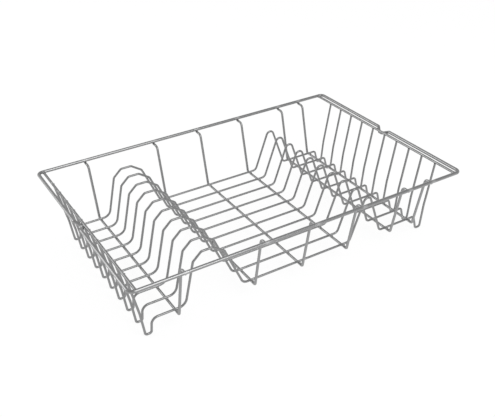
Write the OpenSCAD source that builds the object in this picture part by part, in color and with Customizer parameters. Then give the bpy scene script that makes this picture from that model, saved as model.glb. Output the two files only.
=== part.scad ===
// Wire dish drying rack: a basket of bent round wires welded to a heavier rim.
// X runs along the rack, Y across it and Z up. The origin is on the table,
// in the middle of the rack's footprint. All sizes are in millimetres.

/* [Rim] */
// Length over the rim
rack_length = 480; // [440:1:560]
// Width over the rim
rack_width = 314; // [290:1:360]
// Height from the table to the top of the rim
rack_height = 101; // [95:0.5:130]
// Diameter of the rim wire
rim_wire_d = 4.5; // [3.5:0.1:6]
// Bend radius at the rim's corners
rim_corner_r = 7; // [6:0.5:7]
// Width of the notch at its mouth
notch_mouth_w = 24; // [22:0.5:40]
// Width of the notch at its bottom
notch_bottom_w = 5.5; // [5:0.5:8]
// Bend radius in the notch
notch_r = 3.2; // [3:0.1:4]
// Angle below level at which the notch's bottom sits against the end bar
notch_seat_angle = 55; // [40:1:65]

/* [End bars] */
// Diameter of the two end bars
bar_wire_d = 3.5; // [3:0.1:4.5]
// Distance from the rim's short side to the end bar, centre to centre
bar_gap = 8; // [7.6:0.1:10]

/* [Plate wires] */
// Number of wires that run along the rack
plate_wires = 10; // [4:1:11]
// Spacing of the plate wires
plate_wire_pitch = 26.2; // [20:0.1:26.6]
// Diameter of a plate wire
plate_wire_d = 3; // [2.5:0.1:3.4]
// How far the outer corner of a foot stays inside the end bar
foot_inset = 17.5; // [14:0.1:20]

/* [End walls] */
// Height of the bend where the outer leg of a foot becomes the end wall
knee_h = 35; // [30:0.5:45]
// Lean of the leg below that bend, as a share of the mean lean up to the end bar
leg_lean_share = 0.66; // [0.5:0.02:0.78]
// Radius of that bend
knee_r = 20; // [16:1:24]
// How far inside the end bar's centre line a plate wire points
wall_offset = 1.1; // [0.8:0.1:1.4]

/* [Feet] */
// Height of the floor wires' centres above the bottom of the feet's centre line
foot_drop = 20.5; // [16:0.5:26]
// Width of a U foot between its corners
foot_w = 7.8; // [7.4:0.1:10]
// Bend radius in a foot
foot_r = 3; // [2.6:0.1:3.2]

/* [Floor] */
// Slope run of the left foot's inner leg
left_leg_run = 2; // [1:0.1:4]
// Bend radius from the left foot's inner leg to the floor
left_floor_r = 8.8; // [5:0.1:12]
// Slope run of the right foot's inner leg
right_leg_run = 5.2; // [4:0.1:7]
// Bend radius from the right foot's inner leg to the floor
right_floor_r = 4.3; // [3:0.1:6]

/* [Wide hump] */
// Left foot of the wide hump along the rack
wide_hump_x = -158; // [-166:0.5:-150]
// Width of the wide hump at the floor
wide_hump_w = 80; // [78:0.5:84]
// Height of its flat top above the floor
wide_hump_h = 68.5; // [60:0.5:74]
// Drop from its top to the lower corners of its shoulders
wide_hump_shoulder_drop = 10.4; // [9:0.1:13]
// Slope run of its left side below the shoulder
wide_hump_left_run = 13.7; // [12:0.1:16]
// Slope run of its left shoulder
wide_hump_left_shoulder_run = 11.5; // [10:0.1:13]
// Slope run of its right shoulder
wide_hump_right_shoulder_run = 15.1; // [13:0.1:16]
// Slope run of its right side below the shoulder
wide_hump_right_run = 24.4; // [22:0.1:26]
// Bend radius at the corners of its shoulders
wide_hump_shoulder_r = 5; // [4:0.1:5.5]
// Bend radius at its left foot
wide_hump_left_foot_r = 11.5; // [8:0.5:13]
// Bend radius at its right foot
wide_hump_right_foot_r = 8.6; // [6:0.5:11]

/* [Narrow hump] */
// Left foot of the narrow hump along the rack
narrow_hump_x = 86; // [80:0.5:92]
// Width of the narrow hump at the floor
narrow_hump_w = 51.5; // [46:0.5:54]
// Slope run of its left side
narrow_hump_left_run = 27.3; // [22:0.5:30]
// Height of the corner that its round tip is bent from
narrow_hump_h = 71.5; // [55:0.5:78]
// Bend radius at its left foot
narrow_hump_left_foot_r = 7.3; // [5:0.1:9]
// Bend radius of its tip
narrow_hump_tip_r = 6.3; // [4:0.1:7]
// Bend radius at its right foot
narrow_hump_right_foot_r = 5; // [4:0.1:7]

/* [Cross wires] */
// Diameter of a cross wire
cross_wire_d = 3.5; // [3:0.1:4]
// Cross wire's distance outside either foot of the wide hump
wide_hump_clearance = 12.5; // [11:0.5:16]
// Cross wire's distance outside the left foot of the narrow hump
narrow_hump_left_clearance = 9.6; // [8:0.1:12]
// Cross wire's distance outside the right foot of the narrow hump
narrow_hump_right_clearance = 13.2; // [9:0.1:14]
// Last cross wire's distance inside the right end of the floor
right_end_clearance = 9.6; // [7:0.1:11]
// How far the floor of a cross wire runs past the outermost plate wire
floor_margin = 7.5; // [6:0.1:10]
// How far a cross wire's wall stays inside the rim's centre line at its top
side_wall_inset = 13; // [11:0.1:15]
// Bend radius between the floor and the wall of a cross wire
side_floor_r = 2.9; // [2.4:0.1:6]
// Bend radius at the top of a cross wire's wall
side_top_r = 5.5; // [4:0.1:6.5]
// Angle below level at which a cross wire's end meets the inner side of the rim
cross_seat_angle = 43; // [35:1:55]

/* [Wire] */
// How far two crossing wires sink into each other at a weld
weld_sink = 0.15; // [0.1:0.05:0.2]
// How far a wire's end sinks into the wire that it is welded to
end_weld_sink = 0.3; // [0.2:0.05:0.5]
// How much thicker than its straights a wire is in a bend
bend_swell = 0.04; // [0.02:0.01:0.06]
// How far a straight reaches into the bend at its end
bend_lap = 0.2; // [0.1:0.05:0.25]

/* [Hidden] */
$fn = 48;

// Heights of the wires' centre lines, from the rim down
rim_z = rack_height - (rim_wire_d + bend_swell) / 2;
bar_z = rim_z - (rim_wire_d - bar_wire_d) / 2;
cross_seat_reach = rim_wire_d / 2 - end_weld_sink;
cross_top_z = rim_z - cross_seat_reach * sin(cross_seat_angle) - cross_wire_d / 2;
foot_z = (plate_wire_d + bend_swell) / 2;
floor_z = foot_z + foot_drop;
wide_top_z = floor_z + wide_hump_h;
shoulder_z = wide_top_z - wide_hump_shoulder_drop;
cross_floor_z = floor_z - (plate_wire_d + cross_wire_d) / 2 + weld_sink;

// Places along the rack
rim_x = (rack_length - rim_wire_d - bend_swell) / 2;
bar_x = rim_x - bar_gap;
foot_outer_x = bar_x - foot_inset;
foot_inner_x = foot_outer_x - foot_w;
floor_left_x = -foot_inner_x + left_leg_run;
floor_right_x = foot_inner_x - right_leg_run;
wide_hump_end_x = wide_hump_x + wide_hump_w;
wide_top_left_x = wide_hump_x + wide_hump_left_run + wide_hump_left_shoulder_run;
wide_top_right_x = wide_hump_end_x - wide_hump_right_run - wide_hump_right_shoulder_run;
narrow_hump_end_x = narrow_hump_x + narrow_hump_w;
cross_2_x = wide_hump_end_x + wide_hump_clearance;
cross_4_x = narrow_hump_x - narrow_hump_left_clearance;
CROSS_WIRE_X = [
    wide_hump_x - wide_hump_clearance,
    cross_2_x,
    (cross_2_x + cross_4_x) / 2,
    cross_4_x,
    narrow_hump_end_x + narrow_hump_right_clearance,
    floor_right_x - right_end_clearance
];

// End walls: straight wires from the bend in the outer legs to under the end bars
mean_lean = foot_inset / (bar_z - foot_z);
knee_x = foot_outer_x + leg_lean_share * mean_lean * (knee_h - foot_z);
wall_span = [bar_x - knee_x, bar_z - knee_h];
wall_angle = atan2(wall_span.y, wall_span.x) + asin(wall_offset / norm(wall_span));
wall_length = sqrt(pow(norm(wall_span), 2) - pow(wall_offset, 2)) - bar_wire_d / 2 + end_weld_sink;
tip_x = knee_x + wall_length * cos(wall_angle);
tip_z = knee_h + wall_length * sin(wall_angle);

// Notch in a short side: in and down to below the outside of the end bar
notch_seat_reach = (rim_wire_d + bar_wire_d) / 2 - weld_sink;
notch_in = bar_gap - notch_seat_reach * cos(notch_seat_angle);
notch_down = rim_z - bar_z + notch_seat_reach * sin(notch_seat_angle);
notch_depth = norm([notch_in, notch_down]);
notch_tilt = atan2(notch_down, notch_in);

// Places across the rack
rim_y = (rack_width - rim_wire_d - bend_swell) / 2;
bar_end_y = rim_y - rim_wire_d / 2 + weld_sink;
short_end_y = rim_y - rim_corner_r + bend_lap;
first_plate_wire_y = plate_wire_pitch * (plate_wires - 1) / 2;
side_floor_y = first_plate_wire_y + floor_margin;
side_top_y = rim_y - side_wall_inset;
cross_end_y = rim_y - cross_seat_reach * cos(cross_seat_angle);

// Centre line of a plate wire as [along, up, bend radius], from left to right
PLATE_WIRE_LINE = [
    [-tip_x, tip_z, 0],
    [-knee_x, knee_h, knee_r],
    [-foot_outer_x, foot_z, foot_r],
    [-foot_inner_x, foot_z, foot_r],
    [floor_left_x, floor_z, left_floor_r],
    [wide_hump_x, floor_z, wide_hump_left_foot_r],
    [wide_hump_x + wide_hump_left_run, shoulder_z, wide_hump_shoulder_r],
    [wide_top_left_x, wide_top_z, wide_hump_shoulder_r],
    [wide_top_right_x, wide_top_z, wide_hump_shoulder_r],
    [wide_hump_end_x - wide_hump_right_run, shoulder_z, wide_hump_shoulder_r],
    [wide_hump_end_x, floor_z, wide_hump_right_foot_r],
    [narrow_hump_x, floor_z, narrow_hump_left_foot_r],
    [narrow_hump_x + narrow_hump_left_run, floor_z + narrow_hump_h, narrow_hump_tip_r],
    [narrow_hump_end_x, floor_z, narrow_hump_right_foot_r],
    [floor_right_x, floor_z, right_floor_r],
    [foot_inner_x, foot_z, foot_r],
    [foot_outer_x, foot_z, foot_r],
    [knee_x, knee_h, knee_r],
    [tip_x, tip_z, 0]
];

// Centre line of a cross wire as [across, up, bend radius], from front to back
CROSS_WIRE_LINE = [
    [-cross_end_y, cross_top_z, 0],
    [-side_top_y, cross_top_z, side_top_r],
    [-side_floor_y, cross_floor_z, side_floor_r],
    [side_floor_y, cross_floor_z, side_floor_r],
    [side_top_y, cross_top_z, side_top_r],
    [cross_end_y, cross_top_z, 0]
];

// Closed centre line of the rim without its notches
RIM_LINE = [
    [-rim_x, -rim_y, rim_corner_r],
    [rim_x, -rim_y, rim_corner_r],
    [rim_x, rim_y, rim_corner_r],
    [-rim_x, rim_y, rim_corner_r]
];

// Centre line of a short side of the rim as [into the notch, across, bend radius]
SHORT_SIDE_LINE = [
    [0, -short_end_y, 0],
    [0, -notch_mouth_w / 2, notch_r],
    [notch_depth, -notch_bottom_w / 2, notch_r],
    [notch_depth, notch_bottom_w / 2, notch_r],
    [0, notch_mouth_w / 2, notch_r],
    [0, short_end_y, 0]
];

// Corners of a line, their directions and turns; a closed line wraps round
function corner(line, i) = let (p = line[(i + len(line)) % len(line)]) [p.x, p.y];
function direction(line, i) =
    let (step = corner(line, i + 1) - corner(line, i)) step / norm(step);
function heading(line, i) = atan2(direction(line, i).y, direction(line, i).x);
function turn(line, i) =
    let (a = direction(line, i - 1), b = direction(line, i))
    atan2(a.x * b.y - a.y * b.x, a * b);
// Length of the straight that the bend at corner i takes up on either side
function bend_reach(line, i, closed) =
    let (n = len(line), end = !closed && (i % n == 0 || i % n == n - 1))
    end ? 0 : line[i % n].z * tan(abs(turn(line, i)) / 2);

// Round bar from one bend to the next along side i of a line, let into both
module straight(line, i, wire_d, closed = false) {
    start_reach = max(bend_reach(line, i, closed) - bend_lap, 0);
    end_reach = max(bend_reach(line, i + 1, closed) - bend_lap, 0);
    side = norm(corner(line, i + 1) - corner(line, i));
    translate(corner(line, i) + direction(line, i) * start_reach)
        rotate([0, 90, heading(line, i)])
            cylinder(d = wire_d, h = side - start_reach - end_reach);
}

// Bend of the wire at corner i of a line
module bend(line, i, wire_d, closed = false) {
    angle = turn(line, i);
    hand = sign(angle);
    radius = line[i].z;
    before = heading(line, i - 1);
    tangent_point = corner(line, i) - direction(line, i - 1) * bend_reach(line, i, closed);
    translate(tangent_point + radius * hand * [-sin(before), cos(before)])
        rotate(before - 90 * hand + min(angle, 0))
            rotate_extrude(angle = abs(angle))
                translate([radius, 0])
                    circle(d = wire_d + bend_swell);
}

// Open wire bent along a line in the XY plane
module bent_wire(line, wire_d) {
    for (i = [0 : len(line) - 2])
        straight(line, i, wire_d);
    for (i = [1 : len(line) - 2])
        bend(line, i, wire_d);
}

// Short side of the rim with its notch: side is -1 at the left and 1 at the right
module short_side(side) {
    translate([side * rim_x, 0, 0])
        rotate([0, side > 0 ? 180 - notch_tilt : notch_tilt, 0])
            bent_wire(SHORT_SIDE_LINE, rim_wire_d);
}

module rim_wire() {
    color("lightgray")
        translate([0, 0, rim_z]) {
            for (i = [0 : 3])
                bend(RIM_LINE, i, rim_wire_d, closed = true);
            for (i = [0, 2])
                straight(RIM_LINE, i, rim_wire_d, closed = true);
            for (side = [-1, 1])
                short_side(side);
        }
}

// Bar across one end of the rack, between the rim's long sides: side is -1 at the left and 1 at the right
module end_bar(side) {
    color("silver")
        translate([side * bar_x, 0, bar_z])
            rotate([90, 0, 0])
                cylinder(d = bar_wire_d, h = 2 * bar_end_y, center = true);
}

// Plate wire number i, counted from 1 at the back
module plate_wire(i) {
    color("darkgray")
        translate([0, first_plate_wire_y - plate_wire_pitch * (i - 1), 0])
            rotate([90, 0, 0])
                bent_wire(PLATE_WIRE_LINE, plate_wire_d);
}

// Cross wire number i, counted from 1 at the left
module cross_wire(i) {
    color("gray")
        translate([CROSS_WIRE_X[i - 1], 0, 0])
            rotate([90, 0, 90])
                bent_wire(CROSS_WIRE_LINE, cross_wire_d);
}

rim_wire();
end_bar(-1);  // left_end_bar
end_bar(1);  // right_end_bar
for (i = [1 : plate_wires]) {
    plate_wire(i);
}
for (i = [1 : len(CROSS_WIRE_X)]) {
    cross_wire(i);
}
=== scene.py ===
"""Looks of the wire dish drying rack: plating, welds, floor, light and camera.

Lengths are in metres. X runs along the rack, Y across it and Z up.
"""

import logging
import math
from dataclasses import dataclass, field
from enum import Enum

import bpy
from mathutils import Matrix, Vector


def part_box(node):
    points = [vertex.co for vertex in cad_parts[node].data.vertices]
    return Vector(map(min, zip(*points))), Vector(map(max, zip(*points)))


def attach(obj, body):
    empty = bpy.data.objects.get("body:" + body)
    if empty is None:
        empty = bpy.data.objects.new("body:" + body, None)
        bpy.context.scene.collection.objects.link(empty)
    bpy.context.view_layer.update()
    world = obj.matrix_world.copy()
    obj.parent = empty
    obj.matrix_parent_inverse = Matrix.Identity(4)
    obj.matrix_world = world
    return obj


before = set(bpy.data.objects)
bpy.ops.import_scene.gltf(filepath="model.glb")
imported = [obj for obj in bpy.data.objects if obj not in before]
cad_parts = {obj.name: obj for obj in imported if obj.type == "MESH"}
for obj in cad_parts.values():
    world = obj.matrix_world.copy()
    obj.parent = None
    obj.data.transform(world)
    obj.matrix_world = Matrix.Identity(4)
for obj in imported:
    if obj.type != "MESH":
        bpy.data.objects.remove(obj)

LOG = logging.getLogger("dish_rack")
BODY = "root"
MM = 0.001
IMAGE_WIDTH = 495


class Kind(Enum):
    """The four kinds of wire, named as the record's material slots."""

    RIM = "rim_wire"
    BAR = "end_bar"
    PLATE = "plate_wire"
    CROSS = "cross_wire"


class End(Enum):
    """The two ends of the rack, by their sign along X."""

    LEFT = -1
    RIGHT = 1


class Along(Enum):
    """The row axis that a straight run of a wire follows."""

    X = 0
    Y = 1


def deselect() -> None:
    """Leaves nothing selected, so that an operator acts on the new piece alone."""
    if bpy.context.mode != "OBJECT":
        bpy.ops.object.mode_set(mode="OBJECT")
    bpy.ops.object.select_all(action="DESELECT")


def middle(node: str) -> Vector:
    """Centre of a node's box.

    Args:
        node: Name of the node.

    Returns:
        The point halfway between the box's corners.
    """
    low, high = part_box(node)
    return (low + high) / 2


def select_vertices(piece: bpy.types.Object, wanted: list[bool]) -> None:
    """Selects vertices of the piece in edit mode.

    Args:
        piece: The piece being shaped, in edit mode.
        wanted: One truth value per vertex.
    """
    bpy.ops.mesh.select_mode(type="VERT")
    bpy.ops.mesh.select_all(action="DESELECT")
    bpy.ops.object.mode_set(mode="OBJECT")
    for vertex, keep in zip(piece.data.vertices, wanted):
        vertex.select = keep
    bpy.ops.object.mode_set(mode="EDIT")


# ---------------------------------------------------------------- finishes


def new_group(name: str, inputs: dict[str, float], outputs: list[str]) -> bpy.types.NodeTree:
    """Makes an empty shader node group with a vector input and named numbers.

    Args:
        name: Name of the group.
        inputs: Number inputs and their defaults.
        outputs: Names of the number outputs.

    Returns:
        The group, with its Group Input and Group Output nodes in place.
    """
    group = bpy.data.node_groups.new(name, "ShaderNodeTree")
    group.interface.new_socket("Vector", in_out="INPUT", socket_type="NodeSocketVector")
    for label, value in inputs.items():
        socket = group.interface.new_socket(label, in_out="INPUT", socket_type="NodeSocketFloat")
        socket.default_value = value
    for label in outputs:
        group.interface.new_socket(label, in_out="OUTPUT", socket_type="NodeSocketFloat")
    group.nodes.new("NodeGroupInput").name = "In"
    group.nodes.new("NodeGroupOutput").name = "Out"
    return group


@dataclass
class NodeDesk:
    """Short ways to add and join nodes in one node tree."""

    tree: bpy.types.NodeTree

    def feed(self, target: bpy.types.NodeSocket, value: object) -> None:
        """Links an output to an input, or sets the input's own value.

        Args:
            target: The input.
            value: An output socket, or a value of the input's type.
        """
        if isinstance(value, bpy.types.NodeSocket):
            self.tree.links.new(value, target)
        else:
            target.default_value = value

    def add(
        self, kind: str, inputs: dict[str, object] | None = None, **settings: object
    ) -> bpy.types.Node:
        """Adds a node.

        Args:
            kind: Blender's name for the node type.
            inputs: What to feed to each named input.
            **settings: Values of the node's own properties.

        Returns:
            The new node.
        """
        node = self.tree.nodes.new(kind)
        for key, value in settings.items():
            setattr(node, key, value)
        for label, value in (inputs or {}).items():
            self.feed(node.inputs[label], value)
        return node

    def math(self, operation: str, *values: object) -> bpy.types.NodeSocket:
        """Adds a Math node.

        Args:
            operation: The Math node's operation.
            *values: A socket or a number for each input.

        Returns:
            The node's output.
        """
        node = self.add("ShaderNodeMath", operation=operation)
        for target, value in zip(node.inputs, values):
            self.feed(target, value)
        return node.outputs[0]

    def weighted(self, base: object, *terms: tuple[object, float]) -> bpy.types.NodeSocket:
        """Adds weighted values to a base.

        Args:
            base: The socket or number to start from.
            *terms: Each value with its weight.

        Returns:
            The sum.
        """
        for value, weight in terms:
            base = self.math("ADD", base, self.math("MULTIPLY", value, weight))
        return base

    def spread(
        self,
        value: bpy.types.NodeSocket,
        low: float,
        high: float,
        start: float = 0.0,
        end: float = 1.0,
    ) -> bpy.types.NodeSocket:
        """Maps a value from start..end to low..high, clamped.

        Args:
            value: The value to map.
            low: Result at start.
            high: Result at end.
            start: Value that gives low.
            end: Value that gives high.

        Returns:
            The mapped value.
        """
        sizes = {"Value": value, "From Min": start, "From Max": end, "To Min": low, "To Max": high}
        return self.add("ShaderNodeMapRange", sizes).outputs["Result"]

    def row_axes(self) -> bpy.types.NodeSocket:
        """Adds a Texture Coordinate node and gives its Object output."""
        return self.add("ShaderNodeTexCoord").outputs["Object"]

    def stretched(self, scale: tuple[float, float, float]) -> bpy.types.NodeSocket:
        """Adds Object coordinates scaled along the row's axes.

        Args:
            scale: Scale along X, Y and Z, per metre.

        Returns:
            The scaled coordinates.
        """
        sizes = {"Vector": self.row_axes(), "Scale": scale}
        return self.add("ShaderNodeMapping", sizes).outputs["Vector"]

    def bump(
        self, height: bpy.types.NodeSocket, strength: float, depth: float
    ) -> bpy.types.NodeSocket:
        """Adds a Bump node.

        Args:
            height: The relief, from 0 to 1.
            strength: How much of it shows.
            depth: Height of the relief in metres.

        Returns:
            The bumped normal.
        """
        sizes = {"Height": height, "Strength": strength, "Distance": depth}
        return self.add("ShaderNodeBump", sizes).outputs["Normal"]


@dataclass(frozen=True)
class DrawnGrain:
    """Node group: fine draw lines along a wire, plating ripple and water marks.

    Scales are per metre. Each range is the part of its pattern that goes from 0 to 1.
    """

    name: str = "drawn_grain"
    line_detail: float = 3.0
    line_breakup: float = 0.6
    line_range: tuple[float, float] = (0.3, 0.7)
    ripple_scale: float = 320.0
    ripple_detail: float = 1.0
    mark_softness: float = 0.6
    mark_range: tuple[float, float] = (0.12, 0.45)
    patch_scale: float = 38.0
    patch_detail: float = 2.0
    patch_range: tuple[float, float] = (0.48, 0.66)

    def build(self) -> bpy.types.NodeTree:
        """Makes the group.

        Returns:
            A group with outputs Lines, Ripple and Marks, each from 0 to 1.
        """
        group = new_group(self.name, {"Mark Size": 4.0}, ["Lines", "Ripple", "Marks"])
        desk = NodeDesk(group)
        inlet, outlet = group.nodes["In"], group.nodes["Out"]
        place = desk.row_axes()
        lines = self.noise(desk, inlet.outputs["Vector"], 1.0, self.line_detail, self.line_breakup)
        desk.feed(outlet.inputs["Lines"], desk.spread(lines, 0.0, 1.0, *self.line_range))
        ripple = self.noise(desk, place, self.ripple_scale, self.ripple_detail)
        desk.feed(outlet.inputs["Ripple"], ripple)
        scale = desk.math("DIVIDE", 1.0, desk.math("MULTIPLY", inlet.outputs["Mark Size"], MM))
        marks = desk.add(
            "ShaderNodeTexVoronoi",
            {"Smoothness": self.mark_softness, "Scale": scale, "Vector": place},
            feature="SMOOTH_F1",
        )
        spots = desk.spread(marks.outputs["Distance"], 1.0, 0.0, *self.mark_range)
        cloud = self.noise(desk, place, self.patch_scale, self.patch_detail)
        patches = desk.spread(cloud, 0.0, 1.0, *self.patch_range)
        desk.feed(outlet.inputs["Marks"], desk.math("MULTIPLY", spots, patches))
        return group

    def noise(
        self,
        desk: NodeDesk,
        place: bpy.types.NodeSocket,
        scale: float,
        detail: float,
        breakup: float = 0.5,
    ) -> bpy.types.NodeSocket:
        """Adds a noise pattern.

        Args:
            desk: The group's node desk.
            place: Coordinates of the pattern.
            scale: Its scale.
            detail: Its levels of finer noise.
            breakup: How strong the finer noise is.

        Returns:
            The pattern, from 0 to 1.
        """
        sizes = {"Vector": place, "Scale": scale, "Detail": detail, "Roughness": breakup}
        return desk.add("ShaderNodeTexNoise", sizes).outputs["Fac"]


@dataclass(frozen=True)
class WeldFrostAndPaintedLight:
    """Node group: the band on either side of a weld along a wire, where the plating is rougher and
    painted paler; the paler colour is painted light against the shade between crossing wires.
    """

    name: str = "weld_frost_and_painted_light"
    core: float = 0.25
    falloff: float = 1.6

    def build(self) -> bpy.types.NodeTree:
        """Makes the group.

        Returns:
            A group that turns a place along the wire into a mask, 1 at the weld.
        """
        group = new_group(self.name, {"Place": 0.0, "Weld": 0.0, "Reach": 4 * MM}, ["Mask"])
        desk = NodeDesk(group)
        place, weld, reach = (group.nodes["In"].outputs[n] for n in ("Place", "Weld", "Reach"))
        gap = desk.math("ABSOLUTE", desk.math("SUBTRACT", place, weld))
        share = desk.math("DIVIDE", gap, reach)
        fade = desk.spread(share, 1.0, 0.0, self.core, 1.0)
        desk.feed(group.nodes["Out"].inputs["Mask"], desk.math("POWER", fade, self.falloff))
        return group


def blank_metal(name: str) -> tuple[bpy.types.Material, NodeDesk, bpy.types.Node]:
    """Makes a material of plain metal.

    Args:
        name: Name of the material.

    Returns:
        The material, its node desk and its Principled BSDF node.
    """
    material = bpy.data.materials.new(name)
    material.use_nodes = True
    shader = material.node_tree.nodes["Principled BSDF"]
    shader.inputs["Metallic"].default_value = 1.0
    return material, NodeDesk(material.node_tree), shader


@dataclass(frozen=True)
class PlatedWire:
    """Bright plated steel wire, rougher beside its welds, with a paler colour painted there as
    light against the shade between crossing wires.

    A shade says how much darker a pattern makes the wire, a negative one how much
    paler, and a dull how much rougher. Grain scales are per metre, and the mark size
    is in millimetres.
    """

    kind: Kind
    along: Along
    grey: float
    roughness: float
    welds: tuple[float, ...]
    weld_reach: float = 5 * MM
    # Negative shade beside each weld: painted light that lifts the shade between crossing wires.
    weld_painted_light: float = -0.36
    weld_dull: float = 0.10
    line_shade: float = 0.06
    line_dull: float = 0.06
    line_relief: float = 0.5
    mark_size: float = 4.0
    mark_shade: float = 0.09
    mark_dull: float = 0.10
    grain_across: float = 5200.0
    grain_along: float = 60.0
    blue_cast: float = 0.005
    relief_strength: float = 0.06
    relief_depth: float = 0.05 * MM

    def material(
        self, grain: bpy.types.NodeTree, frost_light_group: bpy.types.NodeTree
    ) -> bpy.types.Material:
        """Makes the material.

        Args:
            grain: The drawn_grain group.
            frost_light_group: The weld_frost_and_painted_light group.

        Returns:
            The finished material.
        """
        material, desk, shader = blank_metal(f"plated_{self.kind.value}")
        scale = [self.grain_across] * 3
        scale[self.along.value] = self.grain_along
        sizes = {"Mark Size": self.mark_size, "Vector": desk.stretched(tuple(scale))}
        wear = desk.add("ShaderNodeGroup", sizes, node_tree=grain)
        lines, ripple, marks = (wear.outputs[n] for n in ("Lines", "Ripple", "Marks"))
        # Mask beside the welds: real frost in the roughness, painted light in the colour.
        frost_and_painted_light = self.weld_mask(desk, frost_light_group)

        shades = (lines, self.line_shade), (marks, self.mark_shade), (frost_and_painted_light, self.weld_painted_light)
        shade = desk.weighted(0.0, *shades)
        tone = desk.math("MULTIPLY", desk.math("SUBTRACT", 1.0, shade), self.grey)
        colour = desk.add(
            "ShaderNodeCombineColor",
            {
                "Red": desk.math("MULTIPLY", tone, 1 - self.blue_cast),
                "Green": tone,
                "Blue": desk.math("MULTIPLY", tone, 1 + self.blue_cast),
            },
        )
        desk.feed(shader.inputs["Base Color"], colour.outputs["Color"])
        dulls = (lines, self.line_dull), (marks, self.mark_dull), (frost_and_painted_light, self.weld_dull)
        rough = desk.weighted(self.roughness, *dulls)
        desk.feed(shader.inputs["Roughness"], rough)
        relief = desk.weighted(ripple, (lines, self.line_relief))
        normal = desk.bump(relief, self.relief_strength, self.relief_depth)
        desk.feed(shader.inputs["Normal"], normal)
        return material

    def weld_mask(self, desk: NodeDesk, frost_light_group: bpy.types.NodeTree) -> bpy.types.NodeSocket:
        """Joins the masks of all the welds along the wire.

        Args:
            desk: The material's node desk.
            frost_light_group: The weld_frost_and_painted_light group.

        Returns:
            The largest of the masks.
        """
        parts = desk.add("ShaderNodeSeparateXYZ", {"Vector": desk.row_axes()})
        place = parts.outputs[self.along.value]
        mask: object = 0.0
        for weld in self.welds:
            sizes = {"Place": place, "Weld": weld, "Reach": self.weld_reach}
            spot = desk.add("ShaderNodeGroup", sizes, node_tree=frost_light_group)
            mask = desk.math("MAXIMUM", mask, spot.outputs["Mask"])
        return mask


@dataclass(frozen=True)
class WeldMetal:
    """Plated weld metal: the same plating over a rougher, rippled lump.

    The grain scale is per metre, and the mark size is in millimetres.
    """

    name: str
    grey: float
    roughness: float = 0.36
    dull_spread: float = 0.15
    dark_share: float = 0.8
    grain_scale: float = 900.0
    mark_size: float = 1.5
    relief_strength: float = 0.35
    relief_depth: float = 0.12 * MM

    def material(self, grain: bpy.types.NodeTree) -> bpy.types.Material:
        """Makes the material.

        Args:
            grain: The drawn_grain group.

        Returns:
            The finished material.
        """
        material, desk, shader = blank_metal(self.name)
        place = desk.stretched((self.grain_scale,) * 3)
        sizes = {"Mark Size": self.mark_size, "Vector": place}
        wear = desk.add("ShaderNodeGroup", sizes, node_tree=grain)
        lines = wear.outputs["Lines"]
        tone = desk.spread(lines, self.grey, self.grey * self.dark_share)
        colour = desk.add("ShaderNodeCombineColor", dict.fromkeys(("Red", "Green", "Blue"), tone))
        desk.feed(shader.inputs["Base Color"], colour.outputs["Color"])
        rough = desk.spread(
            wear.outputs["Marks"], self.roughness, self.roughness + self.dull_spread
        )
        desk.feed(shader.inputs["Roughness"], rough)
        normal = desk.bump(lines, self.relief_strength, self.relief_depth)
        desk.feed(shader.inputs["Normal"], normal)
        return material


# ------------------------------------------------------- small weld shapes


@dataclass(frozen=True)
class Squeeze:
    """Metal squeezed out between two crossing wires by the weld.

    It starts as a cube, thin along Z, and a lobe is drawn out in each quadrant.
    """

    half_width: float = 1.75 * MM
    half_height: float = 0.62 * MM
    lobe: float = 1.16
    lobe_height: float = 0.8
    roundness: float = 0.85
    cuts: int = 2
    diagonal_band: float = 0.3
    lobe_start: float = 0.8

    def build(self) -> bpy.types.Object:
        """Models one lump at the origin.

        Returns:
            The finished lump.
        """
        deselect()
        bpy.ops.mesh.primitive_cube_add(size=2.0)
        lump = bpy.context.active_object
        bpy.ops.object.mode_set(mode="EDIT")
        bpy.ops.mesh.subdivide(number_cuts=self.cuts)
        bpy.ops.transform.tosphere(value=self.roundness)
        bpy.ops.object.mode_set(mode="OBJECT")
        lobes = [self.in_lobe(vertex.co) for vertex in lump.data.vertices]
        bpy.ops.object.mode_set(mode="EDIT")
        select_vertices(lump, lobes)
        bpy.ops.transform.resize(value=(self.lobe, self.lobe, self.lobe_height))
        bpy.ops.mesh.select_all(action="SELECT")
        bpy.ops.transform.resize(value=(self.half_width, self.half_width, self.half_height))
        bpy.ops.object.mode_set(mode="OBJECT")
        rounding = lump.modifiers.new("rounding", "SUBSURF")
        rounding.levels = 1
        rounding.render_levels = 1
        bpy.ops.object.modifier_apply(modifier=rounding.name)
        bpy.ops.object.shade_smooth()
        return lump

    def in_lobe(self, place: Vector) -> bool:
        """Whether a point of the rounded cube is drawn out with a lobe."""
        off_diagonal = abs(abs(place.x) - abs(place.y))
        return off_diagonal < self.diagonal_band and place.xy.length > self.lobe_start


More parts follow.
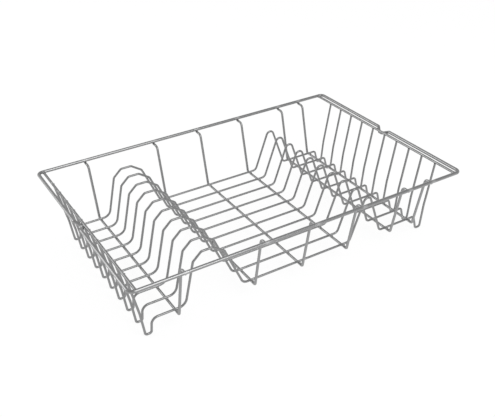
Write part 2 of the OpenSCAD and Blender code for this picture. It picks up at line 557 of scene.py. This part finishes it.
@dataclass(frozen=True)
class Skirt:
    """Fillet round the end of a wire where it is welded to another.

    Each step gives the length of a ring and how much wider its far edge is.
    """

    wire_radius: float = 1.75 * MM
    steps: tuple[tuple[float, float], ...] = (
        (0.45 * MM, 1.04),
        (0.4 * MM, 1.08),
        (0.35 * MM, 1.13),
        (0.5 * MM, 1.06),
    )
    sides: int = 32
    foot_growth: float = 1.004
    crease_angle: float = math.radians(50)

    def length(self) -> float:
        """Length of the fillet along the wire."""
        return sum(step[0] for step in self.steps)

    def build(self) -> bpy.types.Object:
        """Models one fillet at the origin, opening out along +Z.

        Returns:
            The finished fillet.
        """
        deselect()
        foot = self.wire_radius * self.foot_growth
        bpy.ops.mesh.primitive_circle_add(vertices=self.sides, radius=foot, fill_type="NGON")
        skirt = bpy.context.active_object
        bpy.ops.object.mode_set(mode="EDIT")
        bpy.ops.mesh.select_all(action="SELECT")
        for length, growth in self.steps:
            bpy.ops.mesh.extrude_region_move(TRANSFORM_OT_translate={"value": (0, 0, length)})
            bpy.ops.transform.resize(value=(growth, growth, 1))
        bpy.ops.mesh.select_all(action="SELECT")
        bpy.ops.mesh.normals_make_consistent(inside=False)
        bpy.ops.object.mode_set(mode="OBJECT")
        deselect()
        skirt.select_set(True)
        bpy.context.view_layer.objects.active = skirt
        bpy.ops.object.shade_smooth_by_angle(angle=self.crease_angle)
        return skirt


def repeat(shape: Squeeze | Skirt, name: str, places: list[Matrix]) -> bpy.types.Object:
    """Models a shape once, copies it to each place and joins the copies to one piece.

    Args:
        shape: The shape, modelled at the origin.
        name: Name of the piece.
        places: Where each copy goes.

    Returns:
        The piece, with its object at the origin.
    """
    template = shape.build()
    deselect()
    copies: list[bpy.types.Object] = []
    for place in places:
        mesh = template.data.copy()
        mesh.transform(place)
        piece = bpy.data.objects.new(name, mesh)
        bpy.context.scene.collection.objects.link(piece)
        piece.select_set(True)
        copies.append(piece)
    joined = copies[0]
    bpy.context.view_layer.objects.active = joined
    if len(copies) > 1:
        bpy.ops.object.join()
    joined.name = name
    joined.data.name = name
    bpy.data.objects.remove(template)
    return joined


def facing(point: Vector, direction: Vector, side: Vector) -> Matrix:
    """Place of a shape whose Z axis turns to a direction and X axis to a side.

    Args:
        point: Where the shape's origin goes.
        direction: Where its Z axis points.
        side: Where its X axis points, square to the direction.

    Returns:
        The transform.
    """
    z = direction.normalized()
    x = (side - side.dot(z) * z).normalized()
    y = z.cross(x)
    turn = Matrix((x, y, z)).transposed().to_4x4()
    return Matrix.Translation(point) @ turn


# ---------------------------------------------------------- sub-assemblies


@dataclass
class WireGrid:
    """Plate wires and cross wires, and the welds where they cross."""

    plate_count: int = 10
    cross_count: int = 6
    floor_height: float = 22.02 * MM
    plate_radius: float = 1.5 * MM
    sink: float = 0.15 * MM
    squeeze: Squeeze = Squeeze()

    def plates(self) -> list[str]:
        """Names of the plate wires."""
        return [f"plate_wire_{i}" for i in range(1, self.plate_count + 1)]

    def crosses(self) -> list[str]:
        """Names of the cross wires."""
        return [f"cross_wire_{i}" for i in range(1, self.cross_count + 1)]

    def rows(self) -> list[float]:
        """Where the plate wires lie across the rack."""
        return [middle(name).y for name in self.plates()]

    def columns(self) -> list[float]:
        """Where the cross wires lie along the rack."""
        return [middle(name).x for name in self.crosses()]

    def build(self) -> list[tuple[bpy.types.Object, Kind]]:
        """Models the welds of the floor, one piece for each cross wire.

        Returns:
            Each piece with the kind of wire it belongs to.
        """
        height = self.floor_height - self.plate_radius + self.sink / 2
        made = []
        for number, along in enumerate(self.columns(), start=1):
            places = [Matrix.Translation((along, across, height)) for across in self.rows()]
            made.append((repeat(self.squeeze, f"floor_welds_{number}", places), Kind.CROSS))
        return made


@dataclass
class EndWall:
    """The welds of one end of the rack: along its bar, at the bar's ends and at the notch."""

    end: End
    rows: list[float]
    bar_x: float = 229.73 * MM
    bar_z: float = 98.23 * MM
    bar_radius: float = 1.75 * MM
    bar_end: float = 152.63 * MM
    butt_lap: float = 0.35 * MM
    butt_skirt: Skirt = Skirt()
    wall_angle: float = math.radians(78.92)
    wall_tip: tuple[float, float] = (228.372 * MM, 97.018 * MM)
    wall_lap: float = 0.15 * MM
    wall_skirt: Skirt = Skirt(1.5 * MM, ((0.3 * MM, 1.03), (0.3 * MM, 1.05), (0.3 * MM, 1.07)))
    notch_angle: float = math.radians(55)
    notch_squeeze: Squeeze = Squeeze(2.3 * MM, 0.6 * MM, 1.0)
    notch_stretch: tuple[float, float] = (1.15, 0.5)

    def outward(self, angle: float) -> Vector:
        """Direction in the XZ plane, turned up from the outward direction by an angle."""
        return Vector((self.end.value * math.cos(angle), 0, math.sin(angle)))

    def build(self) -> list[tuple[bpy.types.Object, Kind]]:
        """Models the welds of this end.

        Returns:
            Each piece with the kind of wire it belongs to.
        """
        label = self.end.name.lower()
        return [
            (self.build_wall_welds(f"{label}_bar_welds"), Kind.BAR),
            (self.build_butt_welds(f"{label}_bar_end_welds"), Kind.BAR),
            (self.build_notch_weld(f"{label}_notch_weld"), Kind.RIM),
        ]

    def build_wall_welds(self, name: str) -> bpy.types.Object:
        """Fillets where the plate wires' ends meet the underside of the bar.

        Args:
            name: Name of the piece.

        Returns:
            The piece.
        """
        upward = self.outward(self.wall_angle)
        back = upward * (self.wall_skirt.length() - self.wall_lap)
        tip_x, tip_z = self.wall_tip
        tips = [Vector((self.end.value * tip_x, across, tip_z)) for across in self.rows]
        places = [facing(tip - back, upward, Vector((0, 1, 0))) for tip in tips]
        return repeat(self.wall_skirt, name, places)

    def build_butt_welds(self, name: str) -> bpy.types.Object:
        """Fillets where the bar's two ends meet the rim's long sides.

        Args:
            name: Name of the piece.

        Returns:
            The piece.
        """
        start = self.bar_end - self.butt_skirt.length() + self.butt_lap
        places = []
        for side in (-1, 1):
            point = Vector((self.end.value * self.bar_x, side * start, self.bar_z))
            places.append(facing(point, Vector((0, side, 0)), Vector((1, 0, 0))))
        return repeat(self.butt_skirt, name, places)

    def build_notch_weld(self, name: str) -> bpy.types.Object:
        """Weld between the notch's bottom and the bar.

        Args:
            name: Name of the piece.

        Returns:
            The piece.
        """
        down = self.outward(-self.notch_angle)
        seat = Vector((self.end.value * self.bar_x, 0, self.bar_z)) + down * self.bar_radius
        stretch = Matrix.Diagonal((*self.notch_stretch, 1.0, 1.0))
        place = facing(seat, down, Vector((0, 1, 0))) @ stretch
        return repeat(self.notch_squeeze, name, [place])


@dataclass
class RimWelds:
    """Welds of the cross wires' ends on the inner sides of the rim's two long sides."""

    columns: list[float]
    rim_y: float = 154.73 * MM
    rim_z: float = 98.73 * MM
    rim_radius: float = 2.25 * MM
    seat_angle: float = math.radians(43)
    squeeze: Squeeze = Squeeze(1.9 * MM, 0.6 * MM, 1.1)

    def build(self) -> list[tuple[bpy.types.Object, Kind]]:
        """Models the welds, one piece for each long side.

        Returns:
            Each piece with the kind of wire it belongs to.
        """
        made = []
        for label, side in (("front", -1), ("back", 1)):
            inward = Vector((0, -side * math.cos(self.seat_angle), -math.sin(self.seat_angle)))
            seat = Vector((0, side * self.rim_y, self.rim_z)) + inward * self.rim_radius
            points = [Vector((along, 0, 0)) + seat for along in self.columns]
            places = [facing(point, inward, Vector((1, 0, 0))) for point in points]
            made.append((repeat(self.squeeze, f"{label}_rim_welds", places), Kind.RIM))
        return made


@dataclass
class Rack:
    """The whole rack: the finishes of its wires, and its welds."""

    grid: WireGrid = field(default_factory=WireGrid)
    # The floor welds' grey is paler than the wires': partly the weld metal's own tone, partly
    # painted light against the shade where the wires cross.
    floor_weld: WeldMetal = WeldMetal("plated_floor_weld", 0.46)
    edge_weld: WeldMetal = WeldMetal("plated_edge_weld", 0.38)

    def finishes(self) -> tuple[PlatedWire, ...]:
        """Finish of each kind of wire, with its welds where other wires cross it."""
        rows, columns = tuple(self.grid.rows()), tuple(self.grid.columns())
        return (
            PlatedWire(Kind.RIM, Along.X, 0.312, 0.22, columns, 6 * MM, line_shade=0.05),
            PlatedWire(Kind.BAR, Along.Y, 0.28, 0.26, rows, line_shade=0.05),
            PlatedWire(Kind.PLATE, Along.X, 0.292, 0.30, columns),
            PlatedWire(Kind.CROSS, Along.Y, 0.338, 0.29, rows),
        )

    def build(self) -> None:
        """Dresses the wires and builds every weld."""
        grain, frost_light_group = DrawnGrain().build(), WeldFrostAndPaintedLight().build()
        materials = {finish.kind: finish.material(grain, frost_light_group) for finish in self.finishes()}
        for name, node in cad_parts.items():
            kind = next(kind for kind in Kind if kind.value in name)
            for slot in node.material_slots:
                slot.material = materials[kind]
            LOG.info("dressed %s as %s", name, kind.value)
        self.dress_welds(self.grid.build(), self.floor_weld.material(grain))
        edges = RimWelds(self.grid.columns()).build()
        for end in End:
            edges += EndWall(end, self.grid.rows()).build()
        self.dress_welds(edges, self.edge_weld.material(grain))

    def dress_welds(
        self, parts: list[tuple[bpy.types.Object, Kind]], material: bpy.types.Material
    ) -> None:
        """Gives welds their material and fixes them to the rack.

        Args:
            parts: Each piece with the kind of wire it belongs to.
            material: The weld metal.
        """
        for piece, kind in parts:
            piece.data.materials.clear()
            piece.data.materials.append(material)
            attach(piece, BODY)
            LOG.info("built %s with %d faces", piece.name, len(piece.data.polygons))


# ------------------------------------------------------------------ studio


@dataclass(frozen=True)
class PaleFloor:
    """Wide pale floor, white but for the rack's faint shadow.

    The glow is the share of the floor that shines by itself to the camera and in
    reflections, and the rest is matt and takes the shadow.
    """

    size: float = 14.0
    albedo: float = 0.8
    glow: float = 0.80
    white: float = 1.09

    def build(self) -> None:
        """Makes the floor."""
        deselect()
        bpy.ops.mesh.primitive_plane_add(size=self.size)
        floor = bpy.context.active_object
        floor.name = "floor"
        floor.data.materials.append(self.material())
        LOG.info("built floor")

    def material(self) -> bpy.types.Material:
        """Makes the floor's material.

        Returns:
            A matt white that stays white to the camera and in reflections.
        """
        material = bpy.data.materials.new("pale_floor")
        material.use_nodes = True
        tree = material.node_tree
        tree.nodes.clear()
        desk = NodeDesk(tree)
        path = desk.add("ShaderNodeLightPath")
        seen = desk.math("MAXIMUM", path.outputs["Is Camera Ray"], path.outputs["Is Glossy Ray"])
        seen = desk.math("MAXIMUM", seen, path.outputs["Is Transmission Ray"])
        matt = desk.add("ShaderNodeBsdfDiffuse", {"Color": (self.albedo,) * 3 + (1,)})
        white = desk.add("ShaderNodeEmission", {"Strength": self.white})
        mix = desk.add("ShaderNodeMixShader", {"Fac": desk.math("MULTIPLY", seen, self.glow)})
        desk.feed(mix.inputs[1], matt.outputs["BSDF"])
        desk.feed(mix.inputs[2], white.outputs["Emission"])
        desk.add("ShaderNodeOutputMaterial", {"Surface": mix.outputs["Shader"]})
        return material


@dataclass(frozen=True)
class StudioAir:
    """Light from all round: white near the horizon, dimmer overhead.

    The band, between two heights of a unit direction, is where one turns to the other.
    """

    horizon: float = 1.0
    overhead: float = 0.64
    band_foot: float = 0.12
    band_top: float = 0.32

    def build(self) -> None:
        """Makes the world."""
        world = bpy.data.worlds.new("studio_air")
        bpy.context.scene.world = world
        world.use_nodes = True
        desk = NodeDesk(world.node_tree)
        direction = desk.add("ShaderNodeTexCoord").outputs["Generated"]
        height = desk.add("ShaderNodeSeparateXYZ", {"Vector": direction}).outputs["Z"]
        level = desk.spread(height, self.horizon, self.overhead, self.band_foot, self.band_top)
        background = world.node_tree.nodes["Background"]
        background.inputs["Color"].default_value = (1, 1, 1, 1)
        desk.feed(background.inputs["Strength"], level)
        LOG.info("built world")


@dataclass(frozen=True)
class Softbox:
    """Large soft lamp aimed at the rack."""

    name: str
    place: tuple[float, float, float]
    size: tuple[float, float]
    power: float
    aim: tuple[float, float, float] = (0.0, 0.0, 0.05)

    def build(self) -> None:
        """Makes the lamp."""
        data = bpy.data.lights.new(self.name, "AREA")
        data.shape = "RECTANGLE"
        data.size, data.size_y = self.size
        data.energy = self.power
        lamp = bpy.data.objects.new(self.name, data)
        bpy.context.scene.collection.objects.link(lamp)
        lamp.location = self.place
        beam = Vector(self.aim) - Vector(self.place)
        lamp.rotation_euler = beam.to_track_quat("-Z", "Y").to_euler()
        LOG.info("built lamp %s", self.name)


@dataclass(frozen=True)
class Viewpoint:
    """Where the rack is seen from. Angles are in degrees."""

    azimuth: float = -30.445
    elevation: float = 31.941
    roll: float = -1.526
    target: tuple[float, float, float] = (-0.06156, -0.10502, 0.11778)
    distance: float = 0.8830
    focal_pixels: float = 742.3

    def build(self) -> None:
        """Makes the camera and sets it as the scene's."""
        angles = (self.azimuth, self.elevation, self.roll)
        azimuth, elevation, roll = (math.radians(angle) for angle in angles)
        back = Vector(
            (
                math.sin(azimuth) * math.cos(elevation),
                -math.cos(azimuth) * math.cos(elevation),
                math.sin(elevation),
            )
        )
        level = Vector((math.cos(azimuth), math.sin(azimuth), 0))
        upright = back.cross(level)
        right = level * math.cos(roll) + upright * math.sin(roll)
        up = upright * math.cos(roll) - level * math.sin(roll)
        data = bpy.data.cameras.new("camera")
        data.sensor_fit = "HORIZONTAL"
        data.sensor_width = 36.0
        data.lens = self.focal_pixels / IMAGE_WIDTH * data.sensor_width
        data.clip_end = 50.0
        camera = bpy.data.objects.new("camera", data)
        bpy.context.scene.collection.objects.link(camera)
        turn = Matrix((right, up, back)).transposed().to_4x4()
        camera.matrix_world = Matrix.Translation(Vector(self.target) + back * self.distance) @ turn
        bpy.context.scene.camera = camera
        LOG.info("built camera")


@dataclass
class Studio:
    """Floor, world, lamps and camera."""

    lamps: tuple[Softbox, ...] = (
        Softbox("back_left_softbox", (-0.86, 1.28, 1.3), (0.9, 0.8), 1.7),
        Softbox("low_left_softbox", (-1.55, 1.5, 0.75), (0.8, 1.4), 7.0),
        Softbox("front_softbox", (0.35, -1.6, 1.6), (0.9, 1.9), 15.5),
    )

    def build(self) -> None:
        """Builds everything round the rack."""
        PaleFloor().build()
        StudioAir().build()
        for lamp in self.lamps:
            lamp.build()
        Viewpoint().build()
        bpy.context.scene.view_settings.view_transform = "Standard"


def main() -> None:
    """Builds the rack's looks and its studio."""
    logging.basicConfig(level=logging.INFO, format="%(name)s: %(message)s")
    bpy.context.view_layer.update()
    Studio().build()
    Rack().build()
    bpy.context.view_layer.update()


if __name__ == "__main__":
    main()
